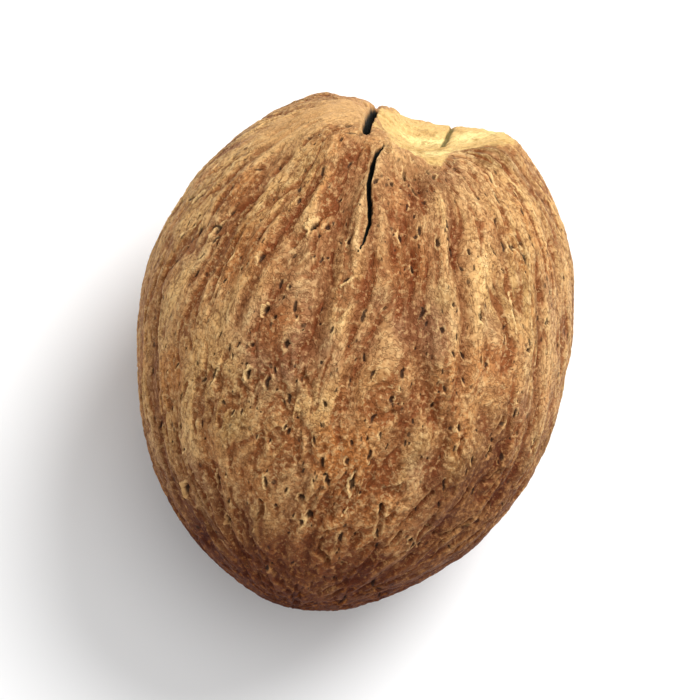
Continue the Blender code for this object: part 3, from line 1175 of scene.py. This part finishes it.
@dataclass(frozen=True)
class SeedFinish:
    """The dry skin of the seed: tan ridges, red-brown streaks, pits, cracks and scar."""

    tan: Colour = (206, 160, 106)
    brown: Colour = (177, 125, 74)
    cream: Colour = (230, 190, 132)
    hollow: Colour = (98, 51, 13)
    rust: Colour = (178, 103, 42)
    plum: Colour = (132, 86, 60)
    gold: Colour = (228, 182, 116)
    # Olive skin colour, also used for painted shade at the scar's cut corner.
    olive_and_shade: Colour = (130, 98, 52)
    streak: Colour = (124, 60, 20)
    valley: Colour = (126, 75, 38)
    pit: Colour = (42, 24, 14)
    # Pale colour on raised rims: painted highlight.
    rim: Colour = (238, 198, 136)
    # Near-black inside the cracks: painted shade.
    crack: Colour = (14, 18, 12)
    scar: Colour = (222, 182, 114)
    scar_bright: Colour = (252, 232, 158)
    scar_dark: Colour = (180, 138, 76)
    groove: Colour = (96, 84, 38)
    halo: Colour = (208, 160, 104)
    # Dark brown of the narrow end, partly painted shade.
    tip: Colour = (82, 38, 8)
    # Painted shade multiplied into the valleys.
    valley_shade: Colour = (216, 186, 170)
    # Multiplied over the narrow end: partly painted shade.
    tip_dark_and_shade: Colour = (178, 122, 50)
    roughness: float = 0.72
    gloss: float = 0.18

    def build(self) -> bpy.types.Material:
        """Build the finish.

        Returns:
            A material that reads the marks stored on the seed's mesh.
        """
        sheet = NodeSheet("nutmeg_skin")
        colour = self.skin_colour(sheet)
        colour = self.scar_colour(sheet, colour)
        # Painted shade inside the cracks.
        colour = sheet.mix(sheet.remap(sheet.mark(Mark.CRACK), 0.02, 0.40), colour, self.crack)
        sheet.link(colour, sheet.shader.inputs["Base Color"])
        sheet.shader.inputs["Roughness"].default_value = self.roughness
        sheet.shader.inputs["Specular IOR Level"].default_value = self.gloss
        self.add_bump(sheet)
        return sheet.material

    def grains(
        self, sheet: NodeSheet, narrow: float, scale: float, roughness: float
    ) -> bpy.types.NodeSocket:
        """Return noise drawn out along the grain, but round where the grain is lost.

        Args:
            sheet: Sheet that the noise is added to.
            narrow: Width of a speck against its length along the grain.
            scale: Specks in a millimetre across the grain.
            roughness: Strength of the finer layers of the noise.

        Returns:
            The value of the noise.
        """
        grain = sheet.attribute("grain").outputs["Vector"]
        place = sheet.tree.nodes.new("ShaderNodeTexCoord").outputs["Object"]
        drawn = sheet.noise(sheet.scaled(grain, (1.0, 1.0, narrow)), scale, 2.0, roughness)
        loose = sheet.noise(place, 1000.0 * scale, 2.0, roughness)
        return sheet.blend(sheet.mark(Mark.CURL), drawn, loose)

    def fibre(self, sheet: NodeSheet) -> bpy.types.NodeSocket:
        """Return thin, short fibres along the grain."""
        return self.grains(sheet, 0.26, 4.2, 0.55)

    def veins(self, sheet: NodeSheet) -> bpy.types.NodeSocket:
        """Return the share of thin, dark creases that wind between small raised grains."""
        wave = self.grains(sheet, 0.40, 2.9, 0.7)
        off = sheet.math("ABSOLUTE", sheet.math("SUBTRACT", wave, 0.5), 0.0)
        return sheet.remap(off, 0.045, 0.0)

    def dots(self, sheet: NodeSheet) -> bpy.types.NodeSocket:
        """Return the share of tiny, scattered holes, longer along the grain than across."""
        grain = sheet.attribute("grain").outputs["Vector"]
        cells = sheet.cells(sheet.scaled(grain, (1.0, 1.0, 0.45)), 1.9)
        chosen = sheet.remap(cells.outputs["Color"], 0.45, 0.60)
        near = sheet.remap(cells.outputs["Distance"], 0.20, 0.09)
        return sheet.math("MULTIPLY", near, chosen)

    def skin_colour(self, sheet: NodeSheet) -> bpy.types.NodeSocket:
        """Return the colour of the skin with its grain, streaks and holes."""
        place = sheet.tree.nodes.new("ShaderNodeTexCoord").outputs["Object"]
        fibre = self.fibre(sheet)
        speckle = sheet.noise(place, 3600.0, 2.0, 0.6)
        relief = sheet.mark(Mark.RELIEF)
        colour = sheet.mix(sheet.remap(sheet.mark(Mark.TONE), 0.25, 0.75), self.brown, self.tan)
        for mark, shade, most in (
            (Mark.GOLD, self.gold, 0.75),
            (Mark.PLUM, self.plum, 0.85),
            # Olive drifts, and painted shade at the scar's cut corner.
            (Mark.OLIVE_AND_SHADE, self.olive_and_shade, 0.75),
            (Mark.RUST, self.rust, 0.70),
            (Mark.VALLEY, self.valley, 0.78),
        ):
            colour = sheet.mix(sheet.math("MULTIPLY", sheet.mark(mark), most), colour, shade)
        colour = sheet.mix(sheet.remap(sheet.mark(Mark.STREAK), 0.1, 0.7, 0.75), colour, self.streak)
        # Darker narrow end, partly painted shade.
        colour = sheet.mix(sheet.math("MULTIPLY", sheet.mark(Mark.TIP), 0.75), colour, self.tip)
        colour = sheet.mix(sheet.remap(relief, 0.55, 1.0, 0.42), colour, self.cream, "SCREEN")
        colour = sheet.mix(sheet.remap(relief, 0.45, 0.0, 0.65), colour, self.hollow)
        colour = sheet.mix(sheet.remap(fibre, 0.54, 0.70, 0.30), colour, self.cream)
        colour = sheet.mix(sheet.remap(fibre, 0.48, 0.32, 0.55), colour, self.hollow)
        colour = sheet.mix(sheet.math("MULTIPLY", self.veins(sheet), 0.40), colour, self.hollow)
        colour = sheet.mix(sheet.remap(speckle, 0.54, 0.68, 0.42), colour, self.cream)
        colour = sheet.mix(sheet.remap(speckle, 0.46, 0.32, 0.55), colour, self.hollow)
        # Painted highlight on raised rims.
        colour = sheet.mix(sheet.remap(sheet.mark(Mark.RIM_HIGHLIGHT), 0.15, 0.9, 0.85), colour, self.rim)
        colour = sheet.mix(sheet.math("MULTIPLY", self.dots(sheet), 0.65), colour, self.pit)
        colour = sheet.mix(sheet.remap(sheet.mark(Mark.PIT), 0.15, 0.75, 0.85), colour, self.pit)
        # Painted shade in the valleys.
        shaded = sheet.math("MULTIPLY", sheet.mark(Mark.VALLEY), 0.50)
        colour = sheet.mix(shaded, colour, self.valley_shade, "MULTIPLY")
        # Further darkening of the narrow end, partly painted shade.
        shaded = sheet.remap(sheet.mark(Mark.TIP), 0.10, 1.0)
        return sheet.mix(shaded, colour, self.tip_dark_and_shade, "MULTIPLY")

    def scar_colour(
        self, sheet: NodeSheet, skin: bpy.types.NodeSocket
    ) -> bpy.types.NodeSocket:
        """Return the skin's colour with the pale scar and its halo laid over it."""
        place = sheet.tree.nodes.new("ShaderNodeTexCoord").outputs["Object"]
        patches = sheet.noise(place, 420.0, 3.0, 0.55)
        crumbs = sheet.noise(place, 2400.0, 2.0, 0.6)
        lit = sheet.math("MULTIPLY", sheet.mark(Mark.BRIGHT), sheet.remap(patches, 0.30, 0.55))
        pale = sheet.mix(lit, self.scar, self.scar_bright)
        stain = sheet.noise(place, 1000.0, 3.0, 0.65)
        pale = sheet.mix(sheet.remap(stain, 0.50, 0.34, 0.65), pale, self.scar_dark)
        pale = sheet.mix(sheet.remap(crumbs, 0.48, 0.32, 0.55), pale, self.scar_dark)
        pale = sheet.mix(sheet.remap(sheet.mark(Mark.GROOVE), 0.1, 0.7, 0.9), pale, self.groove)
        halo = sheet.math("MULTIPLY", sheet.mark(Mark.HALO), 0.80)
        colour = sheet.mix(halo, skin, self.halo)
        return sheet.mix(sheet.mark(Mark.SCAR), colour, pale)

    def add_bump(self, sheet: NodeSheet) -> None:
        """Add relief finer than the mesh, in fibres, grains and tiny holes."""
        place = sheet.tree.nodes.new("ShaderNodeTexCoord").outputs["Object"]
        grit = sheet.noise(place, 3600.0, 2.0, 0.6)
        height = sheet.math("ADD", self.fibre(sheet), sheet.math("MULTIPLY", grit, 0.6))
        height = sheet.math("SUBTRACT", height, sheet.math("MULTIPLY", self.dots(sheet), 0.8))
        height = sheet.math("SUBTRACT", height, sheet.math("MULTIPLY", self.veins(sheet), 0.5))
        bump = sheet.tree.nodes.new("ShaderNodeBump")
        bump.inputs["Strength"].default_value = 0.7
        bump.inputs["Distance"].default_value = 0.00012
        sheet.link(height, bump.inputs["Height"])
        sheet.link(bump.outputs["Normal"], sheet.shader.inputs["Normal"])


@dataclass(frozen=True)
class Lamp:
    """One soft square lamp over the seed, placed by where it stands and how far away."""

    name: str
    azimuth: float
    elevation: float
    distance: float
    size: float
    power: float

    def build(self, target: np.ndarray) -> None:
        """Hang the lamp and aim it at the seed."""
        data = bpy.data.lights.new(self.name, "AREA")
        data.shape = "DISK"
        data.size = self.size
        data.energy = self.power
        lamp = bpy.data.objects.new(self.name, data)
        place_facing(lamp, target, self.azimuth, self.elevation, self.distance)
        bpy.context.scene.collection.objects.link(lamp)


def place_facing(
    item: bpy.types.Object,
    target: np.ndarray,
    azimuth: float,
    elevation: float,
    distance: float,
    roll: float = 0.0,
) -> None:
    """Stand an item off a target and turn it to face the target.

    Args:
        item: Lamp or camera.
        target: Place that it faces.
        azimuth: Degrees around the target, from -Y towards +X.
        elevation: Degrees above the ground.
        distance: Metres from the target.
        roll: Degrees that the item is rolled about the line to its target.
    """
    turn, lift = math.radians(azimuth), math.radians(elevation)
    level = Euler((0.5 * math.pi - lift, 0.0, turn)).to_matrix()
    item.rotation_euler = (level @ Matrix.Rotation(math.radians(roll), 3, "Z")).to_euler()
    away = (math.sin(turn) * math.cos(lift), -math.cos(turn) * math.cos(lift), math.sin(lift))
    item.location = [t + distance * a for t, a in zip(target, away)]


@dataclass(frozen=True)
class Studio:
    """Pale floor, soft lamps and the camera."""

    floor_size: float = 3.0
    floor_colour: Colour = (243, 243, 243)
    sky_colour: Colour = (255, 255, 255)
    sky_strength: float = 0.58
    camera_azimuth: float = 0.0
    camera_roll: float = 13.0
    camera_elevation: float = 75.0
    camera_distance: float = 0.6
    frame_width: float = 0.0385
    sensor: float = 36.0
    lamps: tuple[Lamp, ...] = (
        Lamp("key", 146.0, 50.0, 0.55, 0.34, 3.2),
        Lamp("top", 60.0, 80.0, 0.60, 0.40, 0.8),
    )

    def build(self) -> bpy.types.Object:
        """Build the set around the seed.

        Returns:
            The floor.
        """
        low, high = (np.array(corner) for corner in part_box(NODE))
        middle = 0.5 * (low + high)
        for lamp in self.lamps:
            lamp.build(middle)
        self.build_sky()
        self.build_camera(middle)
        bpy.context.scene.view_settings.view_transform = "Standard"
        return self.build_floor(low[2])

    def build_sky(self) -> None:
        """Light the set evenly from all round."""
        world = bpy.data.worlds.new("sky")
        world.use_nodes = True
        background = world.node_tree.nodes["Background"]
        background.inputs["Color"].default_value = linear(self.sky_colour)
        background.inputs["Strength"].default_value = self.sky_strength
        bpy.context.scene.world = world

    def build_camera(self, middle: np.ndarray) -> None:
        """Look down on the seed from high up, with a long lens."""
        data = bpy.data.cameras.new("camera")
        data.sensor_width = self.sensor
        data.lens = self.sensor * self.camera_distance / self.frame_width
        data.clip_start = 0.01
        camera = bpy.data.objects.new("camera", data)
        place_facing(
            camera,
            middle,
            self.camera_azimuth,
            self.camera_elevation,
            self.camera_distance,
            self.camera_roll,
        )
        bpy.context.scene.collection.objects.link(camera)
        bpy.context.scene.camera = camera

    def build_floor(self, level: float) -> bpy.types.Object:
        """Lay the pale floor at a level."""
        bpy.ops.mesh.primitive_plane_add(size=self.floor_size, location=(0.0, 0.0, level))
        floor = bpy.context.object
        floor.name = "floor"
        sheet = NodeSheet("floor_paper")
        sheet.shader.inputs["Base Color"].default_value = linear(self.floor_colour)
        sheet.shader.inputs["Roughness"].default_value = 0.9
        sheet.shader.inputs["Specular IOR Level"].default_value = 0.1
        floor.data.materials.append(sheet.material)
        return floor


def main() -> None:
    """Build the seed and its set, hide the imported seed and attach the new one to the root body."""
    logging.basicConfig(level=logging.INFO)
    builder = SeedBuilder(Seed())
    piece = builder.build()
    piece.data.materials.append(SeedFinish().build())
    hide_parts(NODE)
    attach(piece, "root")
    LOG.info("%s: %d faces", piece.name, len(piece.data.polygons))
    floor = Studio().build()
    LOG.info("%s: %.1f m across", floor.name, floor.dimensions.x)


if __name__ == "__main__":
    main()
